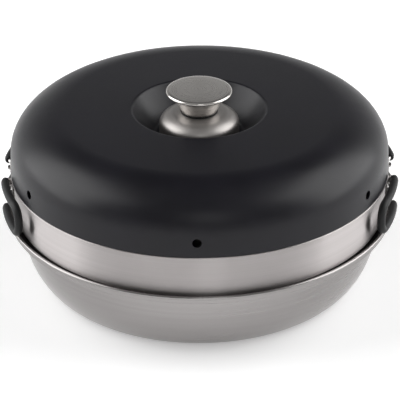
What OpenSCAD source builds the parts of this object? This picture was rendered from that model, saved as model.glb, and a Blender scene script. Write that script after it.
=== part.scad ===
/* [Base bowl] */
// How far the base's rolled rim stands out past the mould's wall
base_rim_out = 5.7; // [5:0.1:9]
// Width of the ledge, from the bowl's wall to the rim's edge
base_ledge_w = 9.7; // [9:0.1:12]
// How far the flat floor stays inside the bowl's wall
base_floor_in = 28.1; // [20:0.1:36]
// Height of the underside of the ledge
base_ledge_z = 51.4; // [44:0.2:52]
// Height of the lip, from the ledge's underside to the top of the rim
base_lip_h = 5.4; // [4.6:0.1:5.7]
// Radius of the roll on top of the lip
base_bead_r = 1.3; // [1.1:0.1:1.6]
// Sheet thickness of the base
base_sheet = 1.0; // [0.8:0.1:1.2]
// Radius of the flame hole in the floor
flame_hole_r = 30; // [24:0.5:32]
// Height of the collar round the flame hole
flame_collar_h = 14; // [9:0.5:16]
// Bend radius between the floor and the collar
flame_collar_bend = 4; // [2.5:0.5:6]

/* [Ring mould] */
// Outer radius of the mould's straight wall
mould_r = 133.5; // [125:0.5:145]
// Height of the mould's rim, where the lid sits
mould_rim_z = 85; // [84.8:0.2:95]
// How far the rim stands out from the wall
mould_rim_out = 1.9; // [1.8:0.1:2.5]
// Thickness of the rim, whose outer edge is round
mould_rim_h = 1.0; // [0.8:0.1:1.5]
// Height of the lip that holds the lid centred
mould_lip_h = 5.2; // [3:0.2:6]
// Bend radius at the foot of the straight wall
mould_corner_r = 4.5; // [3.5:0.5:6]
// Sheet thickness of the mould
mould_sheet = 1.0; // [0.8:0.1:1.2]
// Height of the underside of the mould's floor
mould_floor_z = 20; // [18:0.5:26]
// How far the mould's flat floor stays inside the foot of its wall
mould_floor_in = 31.3; // [26:0.1:46]
// Outer radius of the chimney at the mould's floor
chimney_foot_r = 35; // [33.5:0.5:40]
// Outer radius of the chimney at its top
chimney_top_r = 29; // [24:0.5:31]
// Height of the top of the chimney
chimney_top_z = 92; // [80:0.5:96]
// Width of the seam that folds under the mould's floor
chimney_seam_w = 6; // [4:0.5:9]
// Radius of the rolled top edge of the chimney
chimney_roll_r = 1.4; // [1.2:0.1:1.8]
// Radius of the bead that holds the seam from above
chimney_bead_r = 1.5; // [1.3:0.1:2.2]

/* [Lid] */
// How far the lid's lower edge stands out past the mould's wall
lid_out = 1.5; // [1.3:0.1:3]
// How far the skirt draws in up to the shoulder
lid_draw = 0.3; // [0.1:0.1:0.6]
// Height of the skirt, from its edge to the shoulder
lid_skirt_h = 14.5; // [14:0.5:20]
// Width of the rounded shoulder
lid_shoulder_w = 38; // [30:0.5:44]
// Height of the rounded shoulder
lid_shoulder_h = 29.9; // [28:0.2:34]
// Rise of the top from the shoulder to the recess
lid_crown = 0.6; // [0.2:0.1:2]
// Sheet thickness of the lid
lid_sheet = 1.2; // [1:0.1:1.5]
// Room on the flat floor of the recess round the rosette
recess_room = 2.1; // [1:0.1:5]
// Steepness of the recess's wall, in degrees
recess_wall_a = 55.5; // [50:0.5:62]
// Bend radius at the foot of the recess's wall
recess_foot_bend = 4; // [3:0.5:6]
// Bend radius at the mouth of the recess
recess_bend = 2.5; // [2:0.5:4]
// Depth of the recess below the top
recess_depth = 22; // [19:0.5:24]
// Number of vent holes in the skirt
vent_count = 6; // [3:1:12]
// Radius of a vent hole
vent_r = 3.2; // [2:0.1:4]
// Height of the vent holes above the lid's edge
vent_h = 11; // [10.5:0.5:13]
// Turn of the lid on the mould, in degrees
lid_turn = -0.9; // [-30:0.1:30]

/* [Knob] */
// Radius of the knob's disc
knob_r = 23.5; // [20:0.5:28]
// Thickness of the disc at its edge
knob_disc_h = 2.3; // [2.3:0.1:3]
// Crown of the disc's top
knob_crown = 0.5; // [0.2:0.1:1.5]
// Rounding of the disc's upper edge
knob_edge_r = 1.5; // [0.8:0.1:1.5]
// How far the neck's top stays inside the disc's edge
neck_top_in = 5.5; // [4.5:0.1:9]
// Radius of the neck's foot
neck_foot_r = 12.8; // [11:0.1:13.5]
// Height of the neck, from the gasket to the disc
neck_h = 13.8; // [12:0.2:18]
// Radius of the fillet between neck and disc
neck_fillet = 2.5; // [1:0.1:3]
// Thickness of the black gasket under the neck
gasket_h = 0.8; // [0.6:0.1:1.5]
// How far the gasket shows past the neck's foot
gasket_out = 0.4; // [0.1:0.1:0.6]
// Outer radius of the rosette's foot
rosette_r = 28.4; // [26:0.2:29]
// Height of the rosette's straight side
rosette_side_h = 10.5; // [8:0.5:13]
// Height of the rosette's dome above its side
rosette_dome_h = 8.8; // [7:0.2:11]
// Sheet thickness of the rosette
rosette_sheet = 1.0; // [0.8:0.1:1.2]
// How far the rosette's flat top reaches past the neck's foot
rosette_seat = 1; // [0.7:0.1:1.5]

/* [Knob screw] */
// Radius of the screw's shank
screw_r = 2.5; // [2:0.1:3]
// Radius of the screw's head
screw_head_r = 4.6; // [4:0.1:5.5]
// Height of the screw's head
screw_head_h = 2.8; // [2:0.1:4]
// Rounding of the screw's head
screw_head_round = 1; // [0.5:0.1:1.2]
// Length of thread inside the knob
screw_grip = 9; // [7:0.5:9.5]
// Depth of the knob's hole past the screw's end
screw_end_room = 0.5; // [0.2:0.1:0.8]
// Width of the cross slot
screw_slot_w = 1.2; // [0.8:0.1:1.6]
// Outer radius of the flat washer under the lid
washer_r = 9; // [7:0.5:14]
// Thickness of the flat washer
washer_h = 1.2; // [0.8:0.1:2]
// Outer radius of the lock washer
lock_r = 4.6; // [4:0.1:6]
// Thickness of the lock washer
lock_h = 1.2; // [0.8:0.1:1.6]
// Width of the lock washer's split
lock_split = 1; // [0.5:0.1:2]
// Turn of the lock washer's split, in degrees
lock_turn = 20; // [0:5:90]

/* [Folding handles] */
// How far outside the mould's wall the folded grips run
arm_out = 6.2; // [5.8:0.1:8]
// Height of the upper arm's centre line below the mould's rim
arm_drop = 4.2; // [4.1:0.1:5]
// Distance between the two arms of a wing
arm_gap = 20.5; // [19:0.1:20.6]
// Radius of the grip
grip_r = 2.9; // [2.5:0.1:2.9]
// Radius of the steel wire
wire_r = 1.4; // [1.2:0.05:1.5]
// Angle round the oven at which a wing leaves its hinge curve
wing_start = 8.2; // [7.8:0.1:10]
// Angle round the oven at which the closed end begins to bend
wing_end = 22; // [18:0.5:28]
// Bend radius of the closed end
wing_bend = 8.5; // [6:0.5:9]
// Radius of the curve that leads in to the hinge
hinge_curve_r = 8; // [7:0.5:10]
// Turn of the curve that leads in to the hinge
hinge_curve_a = 40; // [38:1:42]
// Bend radius where the wire turns down into its hinge pin
elbow_r = 2.2; // [2:0.1:2.4]
// Length of the hinge pin past the elbow
hinge_pin_l = 5.6; // [4.5:0.1:6.5]
// Angle of the hinge curve that the grip leaves bare
grip_bare = 8; // [4:1:12]

/* [Handle brackets] */
// Half the angle that a bracket covers round the oven
bracket_half = 7.2; // [7:0.1:9]
// Sheet thickness of a bracket
bracket_sheet = 1.2; // [1:0.1:1.25]
// Thickness of a hinge ear
ear_h = 1.4; // [1.2:0.1:1.8]
// Radius of a hinge ear round its pin
ear_r = 2.9; // [2.6:0.1:3.2]
// Radius of a rivet's shank
rivet_r = 1.6; // [1.2:0.1:2]
// Radius of a rivet's head
rivet_head_r = 3; // [2.4:0.1:3.2]
// Height of a rivet's head
rivet_head_h = 1; // [0.8:0.1:1.1]
// Distance between a bracket's two rivets
rivet_gap = 11; // [9:0.5:12]

/* [Fits] */
// Radial clearance of a hinge pin in its ear
pin_clear = 0.06; // [0.02:0.01:0.1]
// Radial clearance of the screw in the pieces that it passes through
screw_clear = 0.15; // [0.05:0.01:0.3]
// Radial clearance of the screw in the knob's thread
thread_clear = 0.05; // [0.02:0.01:0.08]
// Clearance round a rivet's shank
rivet_clear = 0.05; // [0.02:0.01:0.1]
// Clearance of a grip on its wire
grip_clear = 0.05; // [0.02:0.01:0.1]
// Room between a hinge ear and the elbow beside it
ear_room = 1.2; // [0.8:0.1:1.6]
// Clearance between pieces that seat on each other without a fit
seat_clear = 0.05; // [0.02:0.01:0.1]
// Radial clearance between the mould's lip and the lid
lid_clear = 0.6; // [0.4:0.1:0.8]
// Radial clearance between the mould's shoulder and the bowl's wall
mould_clear = 1.2; // [0.8:0.1:2]

/* [Hidden] */
$fn = 96;
arc_steps = 5;
bead_steps = 12;
shoulder_steps = 14;
bowl_steps = 12;
lap = 0.15;
lap_step = 0.01;
cut = 5;
steel = [0.76, 0.74, 0.73];
dark_steel = [0.45, 0.44, 0.44];
black_coat = [0.13, 0.13, 0.14];
black_rubber = [0.08, 0.08, 0.08];

// The oven's pieces take their radii from the mould's wall
base_rim_r = mould_r + base_rim_out;
base_wall_r = base_rim_r - base_ledge_w;
base_floor_r = base_wall_r - base_floor_in;
mould_foot_r = base_wall_r - base_sheet - mould_clear;
mould_floor_r = mould_foot_r - mould_floor_in;
rim_r = mould_r + mould_rim_out;
lid_r = mould_r + lid_out;
arm_r = mould_r + arm_out;

// The mould's shoulder stands on the top of the base's ledge
base_rim_z = base_ledge_z + base_lip_h;
shoulder_z = base_ledge_z + base_sheet + seat_clear;

// The lid's edge stands on the mould's rim
lid_z = mould_rim_z;
lip_r = lid_r - lid_sheet - lid_clear;
lip_z = mould_rim_z + mould_lip_h;
skirt_z = lid_z + lid_skirt_h;
skirt_r = lid_r - lid_draw;
shoulder_r = skirt_r - lid_shoulder_w;
top_z = skirt_z + lid_shoulder_h + lid_crown;
recess_z = top_z - recess_depth;
recess_floor_r = rosette_r + recess_room;
recess_bends = recess_bend + recess_foot_bend;
recess_wall_w = (recess_depth - recess_bends * (1 - cos(recess_wall_a))) / tan(recess_wall_a);
recess_r = recess_floor_r + recess_bends * sin(recess_wall_a) + recess_wall_w;
edge_break = 0.4;

// The knob's pieces stack up from the floor of the recess
rosette_side_z = recess_z + rosette_side_h;
rosette_top_z = rosette_side_z + rosette_dome_h;
knob_z = rosette_top_z + gasket_h;
disc_z = knob_z + neck_h;
washer_z = recess_z - lid_sheet - washer_h;
lock_z = washer_z - lock_h;
screw_top_z = knob_z + screw_grip;
slot_depth = screw_head_h / 2;
rosette_flat_r = neck_foot_r + rosette_seat;
neck_top_r = knob_r - neck_top_in;

// A wing's arms, and the place of its hinge pin in the oven's quarter x, y > 0
arm_top_z = mould_rim_z - arm_drop;
arm_low_z = arm_top_z - arm_gap;
curve_a = wing_start - hinge_curve_a;
curve_centre = (arm_r - hinge_curve_r) * unit(wing_start);
hinge_xy = curve_centre + hinge_curve_r * unit(curve_a) - elbow_r * unit(curve_a + 90);
ear_top_z = arm_top_z - elbow_r - ear_h - ear_room;
ear_low_z = arm_low_z + elbow_r + ear_room;
bracket_z = (ear_top_z + ear_low_z + ear_h) / 2;
ear_end_z = ear_top_z + ear_h;

function unit(a) = [cos(a), sin(a)];

// Points on an ellipse's arc in the plane of a profile
function arc(c, r, a0, a1, n) =
    [for (i = [0:n]) let(a = a0 + (a1 - a0) * i / n) [c[0] + r[0] * cos(a), c[1] + r[1] * sin(a)]];

// A turned or pressed piece from its half profile
module turned(profile) {
    rotate_extrude($fn = 128) polygon(profile);
}

module plate_ring(outer, inner, z, h) {
    translate([0, 0, z]) difference() {
        cylinder(r = outer, h = h);
        translate([0, 0, -cut]) cylinder(r = inner, h = h + 2 * cut);
    }
}

// Base: pressed bowl with a flame hole, a ledge for the mould and a rolled lip
module base_bowl() {
    upright_r = base_rim_r - base_bead_r + base_sheet / 2;
    bead_c = [base_rim_r - base_bead_r, base_rim_z - base_bead_r];
    fold = asin(base_sheet / 2 / base_bead_r);
    wall_c = [base_floor_r, base_ledge_z];
    collar_c = [flame_hole_r + flame_collar_bend, flame_collar_bend];
    inner_bend = flame_collar_bend - base_sheet;
    color(steel) turned(concat(
        [[flame_hole_r, flame_collar_h]],
        arc(collar_c, [flame_collar_bend, flame_collar_bend], 180, 270, arc_steps),
        arc(wall_c, [base_wall_r - base_floor_r, base_ledge_z], -90, 0, shoulder_steps),
        [[upright_r - edge_break, base_ledge_z], [upright_r, base_ledge_z + edge_break]],
        arc(bead_c, [base_bead_r, base_bead_r], -90 + fold, 270 - fold, bead_steps),
        [[upright_r - base_sheet, base_ledge_z + base_sheet]],
        arc(wall_c, [base_wall_r - base_sheet - base_floor_r, base_ledge_z - base_sheet],
            0, -90, shoulder_steps),
        arc(collar_c, [inner_bend, inner_bend], 270, 180, arc_steps),
        [[flame_hole_r + base_sheet, flame_collar_h]]
    ));
}

// Radial holes for a bracket's rivets, on the right-hand side of the oven
module rivet_holes(from, to) {
    for (side = [-1, 1]) rotate([0, 0, side * asin(rivet_gap / 2 / mould_r)])
        translate([from, 0, bracket_z]) rotate([0, 90, 0])
            cylinder(r = rivet_r + rivet_clear, h = to - from);
}

// Mould: a ring-shaped baking tin with a straight wall, a rim and a centring lip
module mould_ring() {
    corner_c = [mould_r - mould_corner_r, shoulder_z + mould_corner_r];
    inner_corner = mould_corner_r - mould_sheet;
    wall_c = [mould_floor_r, shoulder_z];
    wall_w = mould_foot_r - mould_floor_r;
    wall_h = shoulder_z - mould_floor_z;
    hole_r = chimney_foot_r + seat_clear;
    rim_low_z = mould_rim_z - mould_rim_h;
    rim_round = mould_rim_h / 2;
    color(steel) difference() {
        turned(concat(
            [[hole_r, mould_floor_z]],
            arc(wall_c, [wall_w, wall_h], -90, 0, bowl_steps),
            arc(corner_c, [mould_corner_r, mould_corner_r], -90, 0, arc_steps),
            [[mould_r, rim_low_z - edge_break], [mould_r + edge_break, rim_low_z]],
            arc([rim_r - rim_round, rim_low_z + rim_round], [rim_round, rim_round], -90, 90,
                arc_steps),
            [[lip_r, mould_rim_z], [lip_r, lip_z],
             [lip_r - mould_sheet, lip_z], [lip_r - mould_sheet, rim_low_z],
             [mould_r - mould_sheet, rim_low_z - edge_break]],
            arc(corner_c, [inner_corner, inner_corner], 0, -90, arc_steps),
            [[mould_foot_r, shoulder_z + mould_sheet]],
            arc(wall_c, [wall_w - mould_sheet, wall_h - mould_sheet], 0, -90, bowl_steps),
            [[hole_r, mould_floor_z + mould_sheet]]
        ));
        for (turn = [0, 180]) rotate([0, 0, turn]) rivet_holes(mould_r - cut, mould_r + cut);
    }
}

// Chimney: a cone seamed into the mould's floor, which leads the heat up to the lid
module mould_chimney() {
    seam_top_z = mould_floor_z - seat_clear;
    seam_z = seam_top_z - mould_sheet;
    roll_c = [chimney_top_r, chimney_top_z - chimney_roll_r];
    bead_z = mould_floor_z + mould_sheet + seat_clear + chimney_bead_r;
    fold = asin(mould_sheet / 2 / chimney_roll_r);
    color(steel) turned(concat(
        [[chimney_foot_r - mould_sheet, seam_z], [chimney_foot_r + chimney_seam_w, seam_z],
         [chimney_foot_r + chimney_seam_w, seam_top_z], [chimney_foot_r, seam_top_z],
         [chimney_foot_r, bead_z - chimney_bead_r]],
        arc([chimney_foot_r, bead_z], [chimney_bead_r, chimney_bead_r], -80, 80, arc_steps),
        [[chimney_foot_r, bead_z + chimney_bead_r]],
        arc([roll_c[0] - mould_sheet / 2, roll_c[1]], [chimney_roll_r, chimney_roll_r],
            -90 + fold, 270 - fold, bead_steps)
    ));
}

// Lid: a deep pressing with a skirt, a rounded shoulder and a recess for the knob
module lid_shell() {
    shoulder_c = [shoulder_r, skirt_z];
    mouth_c = [recess_r, top_z - recess_bend];
    foot_c = [recess_floor_r, recess_z + recess_foot_bend];
    mouth_a = 90 + recess_wall_a;
    foot_a = recess_wall_a - 90;
    inner_bend = recess_bend - lid_sheet;
    outer_bend = recess_foot_bend + lid_sheet;
    hole_r = screw_r + screw_clear;
    color(black_coat) difference() {
        turned(concat(
            [[lid_r - lid_sheet, lid_z], [lid_r - edge_break, lid_z], [lid_r, lid_z + edge_break]],
            arc(shoulder_c, [lid_shoulder_w, lid_shoulder_h], 0, 90, shoulder_steps),
            arc(mouth_c, [recess_bend, recess_bend], 90, mouth_a, arc_steps),
            arc(foot_c, [recess_foot_bend, recess_foot_bend], foot_a, -90, arc_steps),
            [[hole_r, recess_z], [hole_r, recess_z - lid_sheet]],
            arc(foot_c, [outer_bend, outer_bend], -90, foot_a, arc_steps),
            arc(mouth_c, [inner_bend, inner_bend], mouth_a, 90, arc_steps),
            arc(shoulder_c, [lid_shoulder_w - lid_sheet, lid_shoulder_h - lid_sheet],
                90, 0, shoulder_steps)
        ));
        for (i = [0:vent_count - 1]) rotate([0, 0, lid_turn - 90 + i * 360 / vent_count])
            translate([skirt_r - cut, 0, lid_z + vent_h]) rotate([0, 90, 0])
                cylinder(r = vent_r, h = 2 * cut, $fn = 48);
    }
}

// Rosette: the domed shield that carries the knob above the hot recess
module knob_rosette() {
    side_c = [rosette_flat_r, rosette_side_z];
    dome_w = rosette_r - rosette_flat_r;
    hole_r = screw_r + screw_clear;
    color(steel) turned(concat(
        [[rosette_r - rosette_sheet, recess_z], [rosette_r, recess_z]],
        arc(side_c, [dome_w, rosette_dome_h], 0, 90, bowl_steps),
        [[hole_r, rosette_top_z], [hole_r, rosette_top_z - rosette_sheet]],
        arc(side_c, [dome_w - rosette_sheet, rosette_dome_h - rosette_sheet], 90, 0, bowl_steps)
    ));
}

module knob_gasket() {
    color(black_rubber)
        plate_ring(neck_foot_r + gasket_out, screw_r + screw_clear, rosette_top_z, gasket_h);
}

// Knob: a turned disc on a tapered neck, with a blind thread from below
module knob() {
    rim_r = knob_r - knob_edge_r;
    disc_top_z = disc_z + knob_disc_h;
    hole_r = screw_r + thread_clear;
    hole_top_z = screw_top_z + screw_end_room;
    low_edge_r = knob_edge_r / 2;
    color(steel) turned(concat(
        [[hole_r, knob_z], [neck_foot_r - edge_break, knob_z],
         [neck_foot_r, knob_z + edge_break]],
        arc([neck_top_r + neck_fillet, disc_z - neck_fillet], [neck_fillet, neck_fillet],
            180, 90, arc_steps),
        arc([knob_r - low_edge_r, disc_z + low_edge_r], [low_edge_r, low_edge_r],
            -90, 0, arc_steps),
        arc([rim_r, disc_top_z - knob_edge_r], [knob_edge_r, knob_edge_r], 0, 90, arc_steps),
        arc([0, disc_top_z], [rim_r, knob_crown], 0, 90, bowl_steps),
        [[0, hole_top_z], [hole_r, hole_top_z]]
    ));
}

// Screw: a pan head with a cross slot, which clamps the knob's pieces to the lid
module knob_screw() {
    head_z = lock_z - screw_head_h;
    color(dark_steel) difference() {
        turned(concat(
            [[0, head_z]],
            arc([screw_head_r - screw_head_round, head_z + screw_head_round],
                [screw_head_round, screw_head_round], -90, 0, arc_steps),
            [[screw_head_r, lock_z], [screw_r, lock_z], [screw_r, screw_top_z], [0, screw_top_z]]
        ));
        for (turn = [0, 90]) rotate([0, 0, turn])
            translate([-screw_head_r / 2, -screw_slot_w / 2, head_z - cut])
                cube([screw_head_r, screw_slot_w, slot_depth + cut]);
    }
}

module lid_washer() {
    color(steel) plate_ring(washer_r, screw_r + screw_clear, washer_z, washer_h);
}

// Lock washer: a ring that is split on one side
module lock_washer() {
    color(dark_steel) difference() {
        plate_ring(lock_r, screw_r + screw_clear, lock_z, lock_h);
        rotate([0, 0, lock_turn]) translate([0, -lock_split / 2, lock_z - cut])
            cube([lock_r + cut, lock_split, lock_h + 2 * cut]);
    }
}

// Section of a wing's wire or, with a bore, of the grip round it
module rod(r, bore) {
    difference() {
        circle(r = r, $fn = 48);
        if (bore > 0) circle(r = bore, $fn = 48);
    }
}

// A rod bent through an arc of the given radius, from angle a0 to a1 round +Z. A tight
// bend of level 1 or 2 is a hair thinner and laps into its neighbours, so that the
// stretches of a wing join into one solid.
module bent_rod(bend, a0, a1, r, bore = 0, level = 0) {
    lap_a = level > 0 ? lap / bend * 180 / PI : 0;
    thin = level * lap_step;
    rotate([0, 0, a0 - lap_a]) rotate_extrude(angle = a1 - a0 + 2 * lap_a, $fn = 192)
        translate([bend, 0]) rod(r - thin, bore > 0 ? bore + thin : 0);
}

// One arm of a wing in the quarter x, y > 0, with the closed end's bend below it
module wing_arm(bare, r, bore) {
    translate([curve_centre[0], curve_centre[1], 0])
        bent_rod(hinge_curve_r, curve_a + bare, wing_start, r, bore, 1);
    bent_rod(arm_r, wing_start, wing_end, r, bore);
    rotate([0, 0, wing_end]) translate([arm_r, 0, -wing_bend]) rotate([90, 0, 90])
        bent_rod(wing_bend, 0, 90, r, bore, 1);
}

// The U of a wing: two arms and the straight between them
module wing_loop(bare, r, bore = 0) {
    translate([0, 0, arm_top_z]) wing_arm(bare, r, bore);
    translate([0, 0, arm_low_z]) mirror([0, 0, 1]) wing_arm(bare, r, bore);
    rotate([0, 0, wing_end]) translate([arm_r, wing_bend, arm_low_z + wing_bend])
        linear_extrude(arm_gap - 2 * wing_bend) rod(r, bore);
}

// Elbow and hinge pin at the open end of an arm
module hinge_end() {
    elbow_at = curve_centre + hinge_curve_r * unit(curve_a);
    translate([elbow_at[0], elbow_at[1], -elbow_r]) rotate([0, 0, curve_a])
        rotate([90, 0, 90]) bent_rod(elbow_r, 90, 180, wire_r, 0, 2);
    translate([hinge_xy[0], hinge_xy[1], -elbow_r - hinge_pin_l])
        cylinder(r = wire_r, h = hinge_pin_l, $fn = 48);
}

module wing_wire() {
    color(dark_steel) {
        wing_loop(0, wire_r);
        translate([0, 0, arm_top_z]) hinge_end();
        translate([0, 0, arm_low_z]) mirror([0, 0, 1]) hinge_end();
    }
}

module wing_grip() {
    color(black_rubber) wing_loop(grip_bare, grip_r, wire_r + grip_clear);
}

// Plan of the hinge ear on one side of a bracket
module ear_plan(side) {
    translate([hinge_xy[0], side * hinge_xy[1]]) circle(r = ear_r, $fn = 48);
    translate([mould_r - ear_r, side * hinge_xy[1] - ear_r])
        square([hinge_xy[0] - mould_r + ear_r, 2 * ear_r]);
}

// Bracket on the right-hand side: a skin on the wall with four hinge ears
module bracket() {
    skin_mid_r = mould_r + seat_clear + bracket_sheet / 2;
    color(steel) difference() {
        union() {
            rotate([0, 0, -bracket_half]) rotate_extrude(angle = 2 * bracket_half, $fn = 256)
                translate([mould_r + seat_clear, ear_low_z])
                    square([bracket_sheet, ear_end_z - ear_low_z]);
            difference() {
                for (z = [ear_low_z, ear_top_z], side = [-1, 1])
                    translate([0, 0, z]) linear_extrude(ear_h) ear_plan(side);
                translate([0, 0, ear_low_z - cut])
                    cylinder(r = skin_mid_r, h = ear_end_z, $fn = 256);
            }
        }
        for (side = [-1, 1])
            translate([hinge_xy[0], side * hinge_xy[1], ear_low_z - cut])
                cylinder(r = wire_r + pin_clear, h = ear_end_z, $fn = 48);
        rivet_holes(mould_r - cut, mould_r + cut);
    }
}

// A bracket's two rivets, through its skin and the mould's wall
module rivets() {
    inner = mould_r - mould_sheet - 2 * seat_clear;
    outer = mould_r + bracket_sheet + 2 * seat_clear;
    color(dark_steel)
        for (side = [-1, 1]) rotate([0, 0, side * asin(rivet_gap / 2 / mould_r)])
            translate([inner, 0, bracket_z]) rotate([0, 90, 0]) rotate_extrude($fn = 48)
                polygon(concat(
                    arc([0, 0], [rivet_head_r, rivet_head_h], -90, 0, arc_steps),
                    [[rivet_r, 0], [rivet_r, outer - inner]],
                    arc([0, outer - inner], [rivet_head_r, rivet_head_h], 0, 90, arc_steps)
                ));
}

module left() {
    mirror([1, 0, 0]) children();
}

module front() {
    mirror([0, 1, 0]) children();
}

module left_bracket() { left() bracket(); }
module right_bracket() { bracket(); }
module left_rivets() { left() rivets(); }
module right_rivets() { rivets(); }
module left_front_wire() { left() front() wing_wire(); }
module left_rear_wire() { left() wing_wire(); }
module right_front_wire() { front() wing_wire(); }
module right_rear_wire() { wing_wire(); }
module left_front_grip() { left() front() wing_grip(); }
module left_rear_grip() { left() wing_grip(); }
module right_front_grip() { front() wing_grip(); }
module right_rear_grip() { wing_grip(); }

base_bowl();
mould_ring();
mould_chimney();
left_bracket();
right_bracket();
left_rivets();
right_rivets();
left_front_wire();
left_rear_wire();
right_front_wire();
right_rear_wire();
left_front_grip();
left_rear_grip();
right_front_grip();
right_rear_grip();
lid_shell();
knob_rosette();
knob_gasket();
knob();
knob_screw();
lid_washer();
lock_washer();
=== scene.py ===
import logging
import math
from dataclasses import dataclass, field
from enum import Enum

import bpy
from mathutils import Euler, Matrix, Vector


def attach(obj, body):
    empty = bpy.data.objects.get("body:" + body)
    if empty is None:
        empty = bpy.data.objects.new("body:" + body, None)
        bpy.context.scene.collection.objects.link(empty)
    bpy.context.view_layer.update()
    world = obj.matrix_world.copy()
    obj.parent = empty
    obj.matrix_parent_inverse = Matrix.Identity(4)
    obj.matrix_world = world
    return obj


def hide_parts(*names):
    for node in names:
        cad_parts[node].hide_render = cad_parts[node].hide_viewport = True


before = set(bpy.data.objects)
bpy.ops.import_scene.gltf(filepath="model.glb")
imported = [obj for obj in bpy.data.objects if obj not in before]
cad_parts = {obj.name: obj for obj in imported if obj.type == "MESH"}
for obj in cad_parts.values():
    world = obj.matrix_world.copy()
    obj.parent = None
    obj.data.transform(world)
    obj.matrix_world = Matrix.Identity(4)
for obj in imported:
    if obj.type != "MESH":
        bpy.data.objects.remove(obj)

LOG = logging.getLogger("camp_oven")
MM = 0.001
NEAR_AXIS = 1e-5  # least distance from the axis that anything is divided by
SAME_POINT = 1e-6  # points nearer than this are one
QUARTER = math.pi / 2
QUARTER_TURN = 0.25
METAL = 1.0

Colour = tuple[float, float, float]
Place = tuple[float, float, float]
Span = tuple[float, float]
Station = tuple[float, float]


class Side(Enum):
    """The two ends of the oven's long axis, which carry the handles."""

    LEFT = -1
    RIGHT = 1


class Row(Enum):
    """The near and the far wing of a handle."""

    FRONT = -1
    REAR = 1


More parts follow.
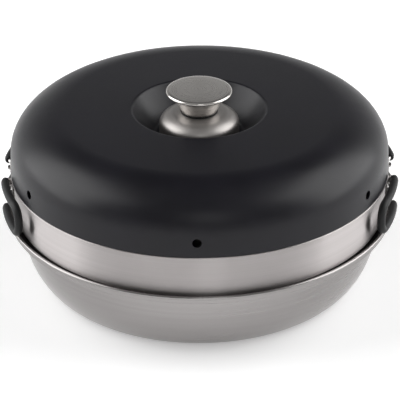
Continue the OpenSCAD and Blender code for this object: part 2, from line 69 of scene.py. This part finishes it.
class Graph:
    """A material's nodes, with short calls for what the finishes share."""

    def __init__(self, name: str) -> None:
        """Start a material.

        Args:
            name: The material's name.
        """
        self.material = bpy.data.materials.new(name)
        self.material.use_nodes = True
        self.tree = self.material.node_tree
        self.shader = self.tree.nodes["Principled BSDF"]

    def node(self, kind: str, **values: object) -> bpy.types.Node:
        """Add a node.

        Args:
            kind: The node's type name.
            values: Properties to set on it.

        Returns:
            The new node.
        """
        made = self.tree.nodes.new(kind)
        for key, value in values.items():
            setattr(made, key, value)
        return made

    def link(self, source: bpy.types.NodeSocket, target: bpy.types.NodeSocket) -> None:
        """Join an output to an input."""
        self.tree.links.new(source, target)

    def feed(self, target: bpy.types.NodeSocket, value: object) -> None:
        """Give an input a number or another node's output.

        Args:
            target: The input.
            value: A number, a vector or an output socket.
        """
        if isinstance(value, bpy.types.NodeSocket):
            self.link(value, target)
        else:
            target.default_value = value

    def math(self, operation: str, first: object, second: object = 0.0) -> bpy.types.NodeSocket:
        """Work out a value from one or two others.

        Args:
            operation: The math node's operation.
            first: A number or an output socket.
            second: A number or an output socket.

        Returns:
            The result's socket.
        """
        made = self.node("ShaderNodeMath", operation=operation)
        self.feed(made.inputs[0], first)
        self.feed(made.inputs[1], second)
        return made.outputs[0]

    def place(self) -> bpy.types.NodeSocket:
        """The point on the piece, in metres in the oven's frame."""
        return self.node("ShaderNodeTexCoord").outputs["Object"]

    def turned_place(self, pitch: float, sweep: float) -> tuple[bpy.types.NodeSocket, ...]:
        """A place that varies fast across the lathe's marks and slowly along them.

        Args:
            pitch: Distance between marks, in metres.
            sweep: How much the marks change once round the piece.

        Returns:
            A vector and a fourth coordinate for a noise, and the distance from the axis.
        """
        split = self.node("ShaderNodeSeparateXYZ")
        self.link(self.place(), split.inputs[0])
        x, y, z = split.outputs
        squares = self.math("ADD", self.math("MULTIPLY", x, x), self.math("MULTIPLY", y, y))
        radius = self.math("SQRT", squares)
        safe = self.math("MAXIMUM", radius, NEAR_AXIS)
        join = self.node("ShaderNodeCombineXYZ")
        self.link(self.math("DIVIDE", radius, pitch), join.inputs[0])
        self.link(self.math("DIVIDE", z, pitch), join.inputs[1])
        self.link(self.math("MULTIPLY", self.math("DIVIDE", x, safe), sweep), join.inputs[2])
        fourth = self.math("MULTIPLY", self.math("DIVIDE", y, safe), sweep)
        return join.outputs[0], fourth, radius

    def noise(self, place: bpy.types.NodeSocket, scale: float, detail: float = 2.0,
              rough: float = 0.5, fourth: bpy.types.NodeSocket | None = None,
              ) -> bpy.types.NodeSocket:
        """Soft random values over the piece.

        Args:
            place: Where the noise is read.
            scale: Spots per unit of place.
            detail: Number of finer layers.
            rough: Share of the finer layers.
            fourth: A fourth coordinate, if the place has one.

        Returns:
            A value about 0.5.
        """
        made = self.node("ShaderNodeTexNoise", noise_dimensions="4D" if fourth else "3D")
        self.link(place, made.inputs["Vector"])
        if fourth:
            self.link(fourth, made.inputs["W"])
        made.inputs["Scale"].default_value = scale
        made.inputs["Detail"].default_value = detail
        made.inputs["Roughness"].default_value = rough
        return made.outputs["Fac"]

    def spread(self, value: bpy.types.NodeSocket, low: float = 0.0, high: float = 1.0,
               start: float = 0.3, end: float = 0.7) -> bpy.types.NodeSocket:
        """Map a value to a range.

        Args:
            value: What is mapped.
            low: Result at the start.
            high: Result at the end.
            start: Value that gives low.
            end: Value that gives high.

        Returns:
            The mapped value.
        """
        made = self.node("ShaderNodeMapRange", interpolation_type="SMOOTHSTEP")
        self.link(value, made.inputs["Value"])
        made.inputs["From Min"].default_value = start
        made.inputs["From Max"].default_value = end
        made.inputs["To Min"].default_value = low
        made.inputs["To Max"].default_value = high
        return made.outputs["Result"]

    def blend(self, first: bpy.types.NodeSocket, second: bpy.types.NodeSocket,
              share: float) -> bpy.types.NodeSocket:
        """Add two values by their shares.

        Args:
            first: First value.
            second: Second value, which has the rest.
            share: Share of the first.

        Returns:
            The blended value.
        """
        return self.math("ADD", self.math("MULTIPLY", first, share),
                         self.math("MULTIPLY", second, 1.0 - share))

    def gloss(self, value: bpy.types.NodeSocket, middle: float, below: float,
              above: float) -> None:
        """Vary the roughness over the piece.

        Args:
            value: A value about 0.5.
            middle: The finish's roughness.
            below: How much less it is where the value is low.
            above: How much more it is where the value is high.
        """
        self.link(self.spread(value, middle - below, middle + above),
                  self.shader.inputs["Roughness"])

    def stretched_gloss(self, amount: float) -> None:
        """Make the piece metal, with its gloss stretched across the lathe's marks."""
        self.set(Metallic=METAL, Anisotropic=amount, Anisotropic_Rotation=QUARTER_TURN)
        tangent = self.node("ShaderNodeTangent", direction_type="RADIAL", axis="Z")
        self.link(tangent.outputs[0], self.shader.inputs["Tangent"])

    def tint(self, factor: bpy.types.NodeSocket, dark: Colour, light: Colour) -> None:
        """Colour the piece between two shades.

        Args:
            factor: 0 for the dark shade, 1 for the light one.
            dark: First shade.
            light: Second shade.
        """
        mix = self.node("ShaderNodeMix", data_type="RGBA")
        self.link(factor, mix.inputs["Factor"])
        mix.inputs["A"].default_value = (*dark, 1.0)
        mix.inputs["B"].default_value = (*light, 1.0)
        self.link(mix.outputs["Result"], self.shader.inputs["Base Color"])

    def relief(self, height: bpy.types.NodeSocket, depth: float, strength: float) -> None:
        """Give the surface a fine relief.

        Args:
            height: Height, from 0 to 1.
            depth: Height of 1, in metres.
            strength: How much of the relief shows.
        """
        bump = self.node("ShaderNodeBump")
        bump.inputs["Strength"].default_value = strength
        bump.inputs["Distance"].default_value = depth
        self.link(height, bump.inputs["Height"])
        self.link(bump.outputs["Normal"], self.shader.inputs["Normal"])

    def set(self, **values: object) -> None:
        """Set the shader's plain inputs, with underscores for spaces in their names."""
        for key, value in values.items():
            self.shader.inputs[key.replace("_", " ")].default_value = value


@dataclass(frozen=True)
class SpunSteel:
    """Stainless sheet, spun or pressed, with fine rings round the axis."""

    name: str
    dark: Colour = (0.44, 0.414, 0.41)
    light: Colour = (0.495, 0.467, 0.463)
    roughness: float = 0.36
    pitch: float = 0.0004
    depth: float = 0.000002
    relief_strength: float = 0.5
    anisotropy: float = 1.0
    sweep: float = 0.8
    broad_scale: float = 0.12
    cloud_scale: float = 14.0
    ring_share: float = 0.5
    mark_share: float = 0.6
    glossier: float = 0.04
    duller: float = 0.05

    def material(self) -> bpy.types.Material:
        """Build the finish."""
        g = Graph(self.name)
        place, fourth, _ = g.turned_place(self.pitch, self.sweep)
        rings = g.noise(place, 1.0, detail=3.0, rough=0.6, fourth=fourth)
        broad = g.noise(place, self.broad_scale, fourth=fourth)
        clouds = g.noise(g.place(), self.cloud_scale)
        both = g.blend(rings, broad, self.ring_share)
        g.tint(g.spread(both), self.dark, self.light)
        g.gloss(g.blend(both, clouds, self.mark_share), self.roughness, self.glossier,
                self.duller)
        g.stretched_gloss(self.anisotropy)
        g.relief(rings, self.depth, self.relief_strength)
        return g.material


@dataclass(frozen=True)
class TurnedSteel:
    """Solid turned steel with cut rings and a polished outer rim."""

    name: str
    dark: Colour = (0.64, 0.614, 0.588)
    light: Colour = (0.69, 0.665, 0.638)
    roughness: float = 0.30
    polish_from: float = 0.0205
    polish_to: float = 0.0222
    polish: float = 0.14
    rim_light: float = 0.3
    pitch: float = 0.00045
    sweep: float = 0.5
    depth: float = 0.000001
    relief_strength: float = 0.5
    anisotropy: float = 0.3
    glossier: float = 0.05
    duller: float = 0.06

    def material(self) -> bpy.types.Material:
        """Build the finish."""
        g = Graph(self.name)
        place, fourth, radius = g.turned_place(self.pitch, self.sweep)
        rings = g.noise(place, 1.0, detail=4.0, rough=0.65, fourth=fourth)
        rim = g.spread(radius, start=self.polish_from, end=self.polish_to)
        bright = g.math("MULTIPLY", rim, self.rim_light)
        g.tint(g.math("ADD", g.spread(rings, high=1.0 - self.rim_light), bright),
               self.dark, self.light)
        dull = g.spread(rings, self.roughness - self.glossier, self.roughness + self.duller)
        g.link(g.math("SUBTRACT", dull, g.math("MULTIPLY", rim, self.polish)),
               g.shader.inputs["Roughness"])
        g.stretched_gloss(self.anisotropy)
        g.relief(rings, self.depth, self.relief_strength)
        return g.material


@dataclass(frozen=True)
class PlainSteel:
    """Small steel parts: wire, rivets, brackets and fasteners."""

    name: str
    dark: Colour = (0.42, 0.41, 0.40)
    light: Colour = (0.58, 0.57, 0.56)
    roughness: float = 0.28
    grain: float = 900.0
    cloud_scale: float = 100.0
    depth: float = 0.00001
    relief_strength: float = 0.4
    glossier: float = 0.05
    duller: float = 0.07

    def material(self) -> bpy.types.Material:
        """Build the finish."""
        g = Graph(self.name)
        fine = g.noise(g.place(), self.grain, detail=3.0, rough=0.6)
        clouds = g.noise(g.place(), self.cloud_scale)
        g.tint(g.spread(clouds), self.dark, self.light)
        g.gloss(fine, self.roughness, self.glossier, self.duller)
        g.set(Metallic=METAL)
        g.relief(fine, self.depth, self.relief_strength)
        return g.material


@dataclass(frozen=True)
class BlackCoat:
    """The lid's satin black heat-proof coat."""

    name: str
    dark: Colour = (0.0022, 0.0019, 0.0046)
    light: Colour = (0.0036, 0.0032, 0.0068)
    roughness: float = 0.36
    specular: float = 0.33
    peel_scale: float = 900.0
    cloud_scale: float = 22.0
    peel_share: float = 0.5
    depth: float = 0.00002
    relief_strength: float = 0.35
    glossier: float = 0.04
    duller: float = 0.05

    def material(self) -> bpy.types.Material:
        """Build the finish."""
        g = Graph(self.name)
        peel = g.noise(g.place(), self.peel_scale, detail=3.0, rough=0.6)
        clouds = g.noise(g.place(), self.cloud_scale, detail=3.0, rough=0.55)
        g.tint(g.spread(clouds), self.dark, self.light)
        g.gloss(g.blend(peel, clouds, self.peel_share), self.roughness, self.glossier,
                self.duller)
        g.set(Specular_IOR_Level=self.specular)
        g.relief(peel, self.depth, self.relief_strength)
        return g.material


@dataclass(frozen=True)
class Silicone:
    """Matt black silicone of the grips and the gasket."""

    name: str
    dark: Colour = (0.008, 0.008, 0.0085)
    light: Colour = (0.014, 0.014, 0.0145)
    roughness: float = 0.5
    specular: float = 0.32
    skin_scale: float = 1400.0
    dust_scale: float = 120.0
    depth: float = 0.00003
    relief_strength: float = 0.4
    glossier: float = 0.06
    duller: float = 0.08

    def material(self) -> bpy.types.Material:
        """Build the finish."""
        g = Graph(self.name)
        skin = g.noise(g.place(), self.skin_scale, detail=3.0, rough=0.6)
        dust = g.noise(g.place(), self.dust_scale, detail=3.0, rough=0.6)
        g.tint(g.spread(dust), self.dark, self.light)
        g.gloss(skin, self.roughness, self.glossier, self.duller)
        g.set(Specular_IOR_Level=self.specular)
        g.relief(skin, self.depth, self.relief_strength)
        return g.material


@dataclass
class SoftCurves:
    """Even shading over turned and pressed curves, with their edges kept crisp."""

    edge_angle: float = math.radians(28)
    weld: float = 1e-6
    group: bpy.types.NodeTree | None = None

    def nodes(self) -> bpy.types.NodeTree:
        """Build the nodes that weld the strips and mark the edges, once."""
        if self.group:
            return self.group
        tree = bpy.data.node_groups.new("soft_curves", "GeometryNodeTree")
        for way in ("INPUT", "OUTPUT"):
            tree.interface.new_socket("Geometry", in_out=way, socket_type="NodeSocketGeometry")
        start = tree.nodes.new("NodeGroupInput")
        end = tree.nodes.new("NodeGroupOutput")
        weld = tree.nodes.new("GeometryNodeMergeByDistance")
        weld.inputs["Distance"].default_value = self.weld
        plain = tree.nodes.new("GeometryNodeRemoveAttribute")
        plain.inputs["Name"].default_value = "custom_normal"
        smooth = tree.nodes.new("GeometryNodeSetShadeSmooth")
        crisp = tree.nodes.new("GeometryNodeSetShadeSmooth")
        crisp.domain = "EDGE"
        crisp.inputs["Shade Smooth"].default_value = False
        angle = tree.nodes.new("GeometryNodeInputMeshEdgeAngle")
        steep = tree.nodes.new("FunctionNodeCompare")
        steep.operation = "GREATER_THAN"
        steep.inputs["B"].default_value = self.edge_angle
        tree.links.new(angle.outputs["Unsigned Angle"], steep.inputs["A"])
        tree.links.new(steep.outputs["Result"], crisp.inputs["Selection"])
        chain = [start, weld, plain, smooth, crisp, end]
        for first, second in zip(chain, chain[1:]):
            tree.links.new(first.outputs[0], second.inputs[0])
        self.group = tree
        return tree

    def apply(self, piece: bpy.types.Object) -> None:
        """Shade a solid of the part evenly.

        Args:
            piece: The solid's object.
        """
        piece.modifiers.new("soft_curves", "NODES").node_group = self.nodes()
        even = piece.modifiers.new("even_normals", "WEIGHTED_NORMAL")
        even.mode = "FACE_AREA"
        even.keep_sharp = True


SOFT_CURVES = SoftCurves()


def dress(piece: bpy.types.Object, material: bpy.types.Material) -> None:
    """Give a piece one finish.

    Args:
        piece: The piece.
        material: Its finish.
    """
    piece.data.materials.clear()
    piece.data.materials.append(material)


def dress_node(name: str, slot: str, material: bpy.types.Material) -> None:
    """Give a solid of the part its finish.

    Args:
        name: The solid's name.
        slot: Its slot in the record.
        material: Its finish.
    """
    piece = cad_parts[name]
    dress(piece, material)
    SOFT_CURVES.apply(piece)
    LOG.info("%s: %s on %s", name, material.name, slot)


@dataclass
class Path:
    """A line through space, with its length along it."""

    points: list[Vector] = field(default_factory=list)

    def add(self, point: Vector) -> None:
        """Add a point, unless the line is there already."""
        if not self.points or (self.points[-1] - point).length > SAME_POINT:
            self.points.append(point)

    def lengths(self) -> list[float]:
        """The length of the line at each of its points."""
        run = [0.0]
        for first, second in zip(self.points, self.points[1:]):
            run.append(run[-1] + (second - first).length)
        return run

    def at(self, run: list[float], length: float) -> tuple[Vector, Vector]:
        """A point and the direction at a length along the line.

        Args:
            run: The lengths at the points.
            length: Where to look.

        Returns:
            The point and the unit direction.
        """
        index = 0
        while index < len(run) - 2 and run[index + 1] < length:
            index += 1
        first, second = self.points[index], self.points[index + 1]
        share = (length - run[index]) / (run[index + 1] - run[index])
        return first.lerp(second, share), (second - first).normalized()


def sleeve(name: str, path: Path, profile: list[Station], turns: int) -> bpy.types.Object:
    """A round sleeve along a line.

    Args:
        name: The piece's name.
        path: The sleeve's centre line.
        profile: Length along the line and radius, from end to end and back inside.
        turns: Corners of each ring.

    Returns:
        The sleeve as a mesh object.
    """
    run = path.lengths()
    verts: list[Vector] = []
    side = Vector((0.0, 0.0, 1.0))
    frames: dict[float, tuple[Vector, Vector, Vector]] = {}
    for length in sorted({station[0] for station in profile}):
        point, along = path.at(run, length)
        side = (side - along * side.dot(along)).normalized()
        frames[length] = (point, side.copy(), along.cross(side))
    for length, radius in profile:
        point, first, second = frames[length]
        for k in range(turns):
            angle = 2 * math.pi * k / turns
            verts.append(point + radius * (math.cos(angle) * first + math.sin(angle) * second))
    rows = len(profile)
    faces = []
    for row in range(rows):
        after = (row + 1) % rows
        for k in range(turns):
            step = (k + 1) % turns
            faces.append((row * turns + k, row * turns + step,
                          after * turns + step, after * turns + k))
    mesh = bpy.data.meshes.new(name)
    mesh.from_pydata(verts, [], faces)
    mesh.update()
    for polygon in mesh.polygons:
        polygon.use_smooth = True
    piece = bpy.data.objects.new(name, mesh)
    bpy.context.scene.collection.objects.link(piece)
    return piece


@dataclass
class Grip:
    """A black silicone sleeve round a wing's wire."""

    side: Side
    row: Row
    arm_r: float = 139.7 * MM
    arm_top_z: float = 80.8 * MM
    arm_gap: float = 20.5 * MM
    curve_r: float = 8.0 * MM
    curve_turn: float = 32.0
    start: float = 8.2
    end: float = 22.0
    bend: float = 8.5 * MM
    radius: float = 2.9 * MM
    bore: float = 1.46 * MM
    end_round: float = 1.3 * MM
    turns: int = 28
    curve_steps: int = 12
    arm_steps: int = 14
    bend_steps: int = 12
    cap_steps: int = 6
    length_steps: int = 72
    bore_steps: int = 48

    def half_path(self) -> list[Vector]:
        """The upper half of the sleeve's line, in the quarter x, y > 0."""
        points = []
        first = math.radians(self.start)
        centre = (self.arm_r - self.curve_r) * Vector((math.cos(first), math.sin(first), 0))
        up = Vector((0, 0, self.arm_top_z))
        for k in range(self.curve_steps + 1):
            a = math.radians(self.start - self.curve_turn * (1 - k / self.curve_steps))
            points.append(centre + up + self.curve_r * Vector((math.cos(a), math.sin(a), 0)))
        for k in range(1, self.arm_steps + 1):
            a = math.radians(self.start + (self.end - self.start) * k / self.arm_steps)
            points.append(up + self.arm_r * Vector((math.cos(a), math.sin(a), 0)))
        turn = Matrix.Rotation(math.radians(self.end), 4, "Z")
        for k in range(1, self.bend_steps + 1):
            a = QUARTER * k / self.bend_steps
            points.append(turn @ Vector((self.arm_r, self.bend * math.sin(a),
                                         self.arm_top_z - self.bend * (1 - math.cos(a)))))
        return points

    def path(self) -> Path:
        """The sleeve's whole line, from the upper arm's end to the lower arm's."""
        upper = self.half_path()
        middle = self.arm_top_z - self.arm_gap / 2
        lower = [Vector((p.x, p.y, 2 * middle - p.z)) for p in reversed(upper)]
        made = Path()
        for p in upper + lower:
            made.add(Vector((p.x * self.side.value, p.y * self.row.value, p.z)))
        return made

    def profile(self, length: float) -> list[Station]:
        """Length along the line and radius, with rounded ends and the bore.

        Args:
            length: The sleeve's length.

        Returns:
            The stations, once round the sleeve's section.
        """
        cap = []
        for k in range(self.cap_steps + 1):
            a = QUARTER * k / self.cap_steps
            cap.append((self.end_round * (1 - math.sin(a)),
                        self.radius - self.end_round * (1 - math.cos(a))))
        straight = length - 2 * self.end_round
        middle = [(self.end_round + straight * k / self.length_steps, self.radius)
                  for k in range(1, self.length_steps)]
        far = [(length - s, r) for s, r in cap]
        back = [(length - length * k / self.bore_steps, self.bore)
                for k in range(self.bore_steps + 1)]
        return cap[::-1] + middle + far + back

    def build(self, material: bpy.types.Material) -> None:
        """Build, dress and mount the sleeve.

        Args:
            material: Its finish.
        """
        place = f"{self.side.name.lower()}_{self.row.name.lower()}"
        path = self.path()
        piece = sleeve(f"{place}_silicone_grip", path, self.profile(path.lengths()[-1]),
                       self.turns)
        if self.side.value * self.row.value > 0:
            piece.data.flip_normals()
        dress(piece, material)
        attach(piece, f"{place}_wing")
        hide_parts(f"{place}_grip")
        LOG.info("%s: %d faces", piece.name, len(piece.data.polygons))


@dataclass
class Handles:
    """The two handles: a riveted bracket with two folding wings on each side."""

    # Painted shade: the brackets' stainless is coloured far darker than the wire's steel,
    # standing in for the shade and dark reflection round the brackets between the grips.
    bracket_steel: PlainSteel = PlainSteel("pressed_bracket_steel", dark=(0.18, 0.175, 0.17),
                                           light=(0.26, 0.252, 0.245))
    wire_steel: PlainSteel = PlainSteel("drawn_wire_steel", roughness=0.24)
    rivet_steel: PlainSteel = PlainSteel("rivet_head_steel", roughness=0.34)
    grip: Silicone = Silicone("grip_silicone")

    def build(self) -> None:
        """Dress the brackets, rivets and wires, and build the grips."""
        bracket, wire = self.bracket_steel.material(), self.wire_steel.material()
        rivet, grip = self.rivet_steel.material(), self.grip.material()
        for side in Side:
            name = side.name.lower()
            dress_node(f"{name}_bracket", "bracket_steel", bracket)
            dress_node(f"{name}_rivets", "rivet_steel", rivet)
            for row in Row:
                dress_node(f"{name}_{row.name.lower()}_wire", "wire_steel", wire)
                Grip(side, row).build(grip)


@dataclass
class BakingTin:
    """The ring-shaped tin and its chimney."""

    steel: SpunSteel = SpunSteel("tin_steel")

    def build(self) -> None:
        """Dress the tin."""
        material = self.steel.material()
        dress_node("mould_ring", "mould_steel", material)
        dress_node("mould_chimney", "mould_steel", material)


@dataclass
class BaseBowl:
    """The bowl with the flame hole that the tin stands in."""

    # Painted shade: the bowl's stainless is coloured darker than the tin's same steel, standing
    # in for the darker floor and contact shadow that it reflects.
    steel: SpunSteel = SpunSteel("base_steel", dark=(0.31, 0.295, 0.292),
                                 light=(0.345, 0.33, 0.327), roughness=0.24, anisotropy=0.7)

    def build(self) -> None:
        """Dress the bowl."""
        dress_node("base_bowl", "base_steel", self.steel.material())


@dataclass
class Lid:
    """The vented lid with its rosette, knob and fasteners."""

    coat: BlackCoat = BlackCoat("lid_coat")
    rosette: SpunSteel = SpunSteel("rosette_steel", dark=(0.34, 0.323, 0.31),
                                   light=(0.40, 0.382, 0.37), roughness=0.43, pitch=0.0003,
                                   anisotropy=0.0)
    knob: TurnedSteel = TurnedSteel("knob_steel")
    gasket: Silicone = Silicone("gasket_silicone")
    fastener: PlainSteel = PlainSteel("fastener_steel")
    washer: PlainSteel = PlainSteel("washer_steel", roughness=0.3)

    def build(self) -> None:
        """Dress the lid's pieces."""
        dress_node("lid_shell", "lid_black", self.coat.material())
        dress_node("knob_rosette", "rosette_steel", self.rosette.material())
        dress_node("knob", "knob_steel", self.knob.material())
        dress_node("knob_gasket", "gasket_rubber", self.gasket.material())
        fastener = self.fastener.material()
        dress_node("knob_screw", "screw_steel", fastener)
        dress_node("lock_washer", "screw_steel", fastener)
        dress_node("lid_washer", "washer_steel", self.washer.material())


@dataclass
class SoftLamp:
    """A flat studio lamp aimed at the oven."""

    name: str
    place: Place
    width: float
    height: float
    radiance: float
    target: Place = (0.0, 0.0, 0.55)

    def build(self) -> None:
        """Make the lamp."""
        light = bpy.data.lights.new(self.name, "AREA")
        light.shape = "RECTANGLE"
        light.size = self.width
        light.size_y = self.height
        light.energy = self.radiance * math.pi * self.width * self.height
        lamp = bpy.data.objects.new(self.name, light)
        lamp.location = self.place
        aim = Vector(self.target) - Vector(self.place)
        lamp.rotation_euler = aim.to_track_quat("-Z", "Y").to_euler()
        bpy.context.scene.collection.objects.link(lamp)


@dataclass
class Studio:
    """Camera, pale floor with a low cove, lamps and surrounding light."""

    lens: float = 198.0
    sensor: float = 36.0
    sight: float = 50.0
    camera_place: Place = (0.0001, -1.3988, 0.8177)
    elevation: float = 28.59
    roll: float = 0.4
    floor_r: float = 4.0
    floor_rings: Span = (0.02, 0.5)
    corners: int = 96
    cove_h: float = 1.0
    cove_bend: float = 0.6
    cove_steps: int = 8
    white: float = 0.93
    mottle: float = 0.01
    mottle_scale: float = 3.0
    floor_roughness: float = 0.9
    lift: float = 0.28
    around: float = 0.31
    behind_low: float = 0.40
    behind_high: float = 0.13
    height_fade: Span = (0.30, 0.60)
    depth_fade: Span = (-0.1, 0.6)
    lamps: tuple[SoftLamp, ...] = (
        SoftLamp("left_lamp", place=(-1.5, 0.2, 1.1), width=1.7, height=1.9, radiance=3.1),
        SoftLamp("right_lamp", place=(1.5, 0.2, 1.1), width=1.7, height=1.9, radiance=3.0),
        SoftLamp("front_lamp", place=(0.16, -1.5, 1.15), width=0.5, height=0.9, radiance=1.3,
                 target=(0.0, 0.0, 0.1)),
    )

    def camera(self) -> None:
        """Place the camera."""
        data = bpy.data.cameras.new("camera")
        data.lens = self.lens
        data.sensor_width = self.sensor
        data.clip_end = self.sight
        camera = bpy.data.objects.new("camera", data)
        tilt = Euler((math.radians(90 - self.elevation), 0.0, 0.0)).to_matrix().to_4x4()
        spin = Matrix.Rotation(math.radians(-self.roll), 4, "Z")
        camera.matrix_world = Matrix.Translation(self.camera_place) @ tilt @ spin
        bpy.context.scene.collection.objects.link(camera)
        bpy.context.scene.camera = camera

    def floor_sections(self) -> list[Station]:
        """Radius and height of the floor's rings, out to the top of the cove."""
        inner, outer = self.floor_rings
        flat = self.floor_r - self.cove_bend
        rings = [(inner, 0.0), (outer, 0.0), (flat, 0.0)]
        for k in range(1, self.cove_steps + 1):
            a = QUARTER * k / self.cove_steps
            rings.append((flat + self.cove_bend * math.sin(a),
                          self.cove_bend * (1 - math.cos(a))))
        rings.append((self.floor_r, self.cove_h))
        return rings

    def floor_mesh(self) -> bpy.types.Mesh:
        """Turn the floor's rings into a mesh with a closed middle."""
        rings, corners = self.floor_sections(), self.corners
        angles = [2 * math.pi * k / corners for k in range(corners)]
        verts = [(r * math.cos(a), r * math.sin(a), z) for r, z in rings for a in angles]
        faces = []
        for i in range(len(rings) - 1):
            here, after = i * corners, (i + 1) * corners
            for k in range(corners):
                step = (k + 1) % corners
                faces.append((here + k, here + step, after + step, after + k))
        faces.append(tuple(range(corners)))
        mesh = bpy.data.meshes.new("floor")
        mesh.from_pydata(verts, [], faces)
        for polygon in mesh.polygons:
            polygon.use_smooth = True
        return mesh

    def floor_material(self) -> bpy.types.Material:
        """Build the floor's white, which looks lighter than it lights the oven."""
        g = Graph("white_floor")
        mottling = g.spread(g.noise(g.place(), self.mottle_scale))
        g.tint(mottling, (self.white - self.mottle,) * 3, (self.white,) * 3)
        g.set(Roughness=self.floor_roughness, Specular_IOR_Level=0.0,
              Emission_Color=(1.0, 1.0, 1.0, 1.0))
        ray = g.node("ShaderNodeLightPath")
        seen = g.math("ADD", g.math("ADD", ray.outputs["Is Camera Ray"],
                                    ray.outputs["Is Glossy Ray"]),
                      ray.outputs["Is Transmission Ray"])
        g.link(g.math("MULTIPLY", g.math("MINIMUM", seen, 1.0), self.lift),
               g.shader.inputs["Emission Strength"])
        return g.material

    def floor(self) -> None:
        """Lay the floor, with a low rounded cove far round it."""
        mesh = self.floor_mesh()
        floor = bpy.data.objects.new("floor", mesh)
        bpy.context.scene.collection.objects.link(floor)
        mesh.materials.append(self.floor_material())

    @staticmethod
    def fade(tree: bpy.types.NodeTree, value: bpy.types.NodeSocket,
             span: Span) -> bpy.types.Node:
        """Add a soft step between two values.

        Args:
            tree: The nodes that it joins.
            value: What is mapped.
            span: Where the step starts and ends.

        Returns:
            The node, whose "To Min" and "To Max" are still to be set.
        """
        made = tree.nodes.new("ShaderNodeMapRange")
        made.interpolation_type = "SMOOTHSTEP"
        made.inputs["From Min"].default_value, made.inputs["From Max"].default_value = span
        tree.links.new(value, made.inputs["Value"])
        return made

    def surroundings(self) -> None:
        """Light from all round, with a dim space high behind the oven."""
        world = bpy.data.worlds.new("soft_room")
        world.use_nodes = True
        tree = world.node_tree
        back = tree.nodes["Background"]
        place = tree.nodes.new("ShaderNodeTexCoord")
        split = tree.nodes.new("ShaderNodeSeparateXYZ")
        tree.links.new(place.outputs["Generated"], split.inputs[0])
        height = self.fade(tree, split.outputs["Z"], self.height_fade)
        height.inputs["To Min"].default_value = self.behind_low
        height.inputs["To Max"].default_value = self.behind_high
        depth = self.fade(tree, split.outputs["Y"], self.depth_fade)
        depth.inputs["To Min"].default_value = self.around
        tree.links.new(height.outputs["Result"], depth.inputs["To Max"])
        tree.links.new(depth.outputs["Result"], back.inputs["Strength"])
        back.inputs["Color"].default_value = (1.0, 1.0, 1.0, 1.0)
        bpy.context.scene.world = world

    def build(self) -> None:
        """Set up the studio."""
        self.camera()
        self.floor()
        self.surroundings()
        for lamp in self.lamps:
            lamp.build()
        bpy.context.scene.view_settings.view_transform = "Standard"
        LOG.info("studio: %d lamps", len(self.lamps))


def main() -> None:
    """Build the studio and dress the oven."""
    logging.basicConfig(level=logging.INFO, format="%(name)s: %(message)s")
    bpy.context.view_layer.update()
    Studio().build()
    BaseBowl().build()
    BakingTin().build()
    Handles().build()
    Lid().build()


if __name__ == "__main__":
    main()
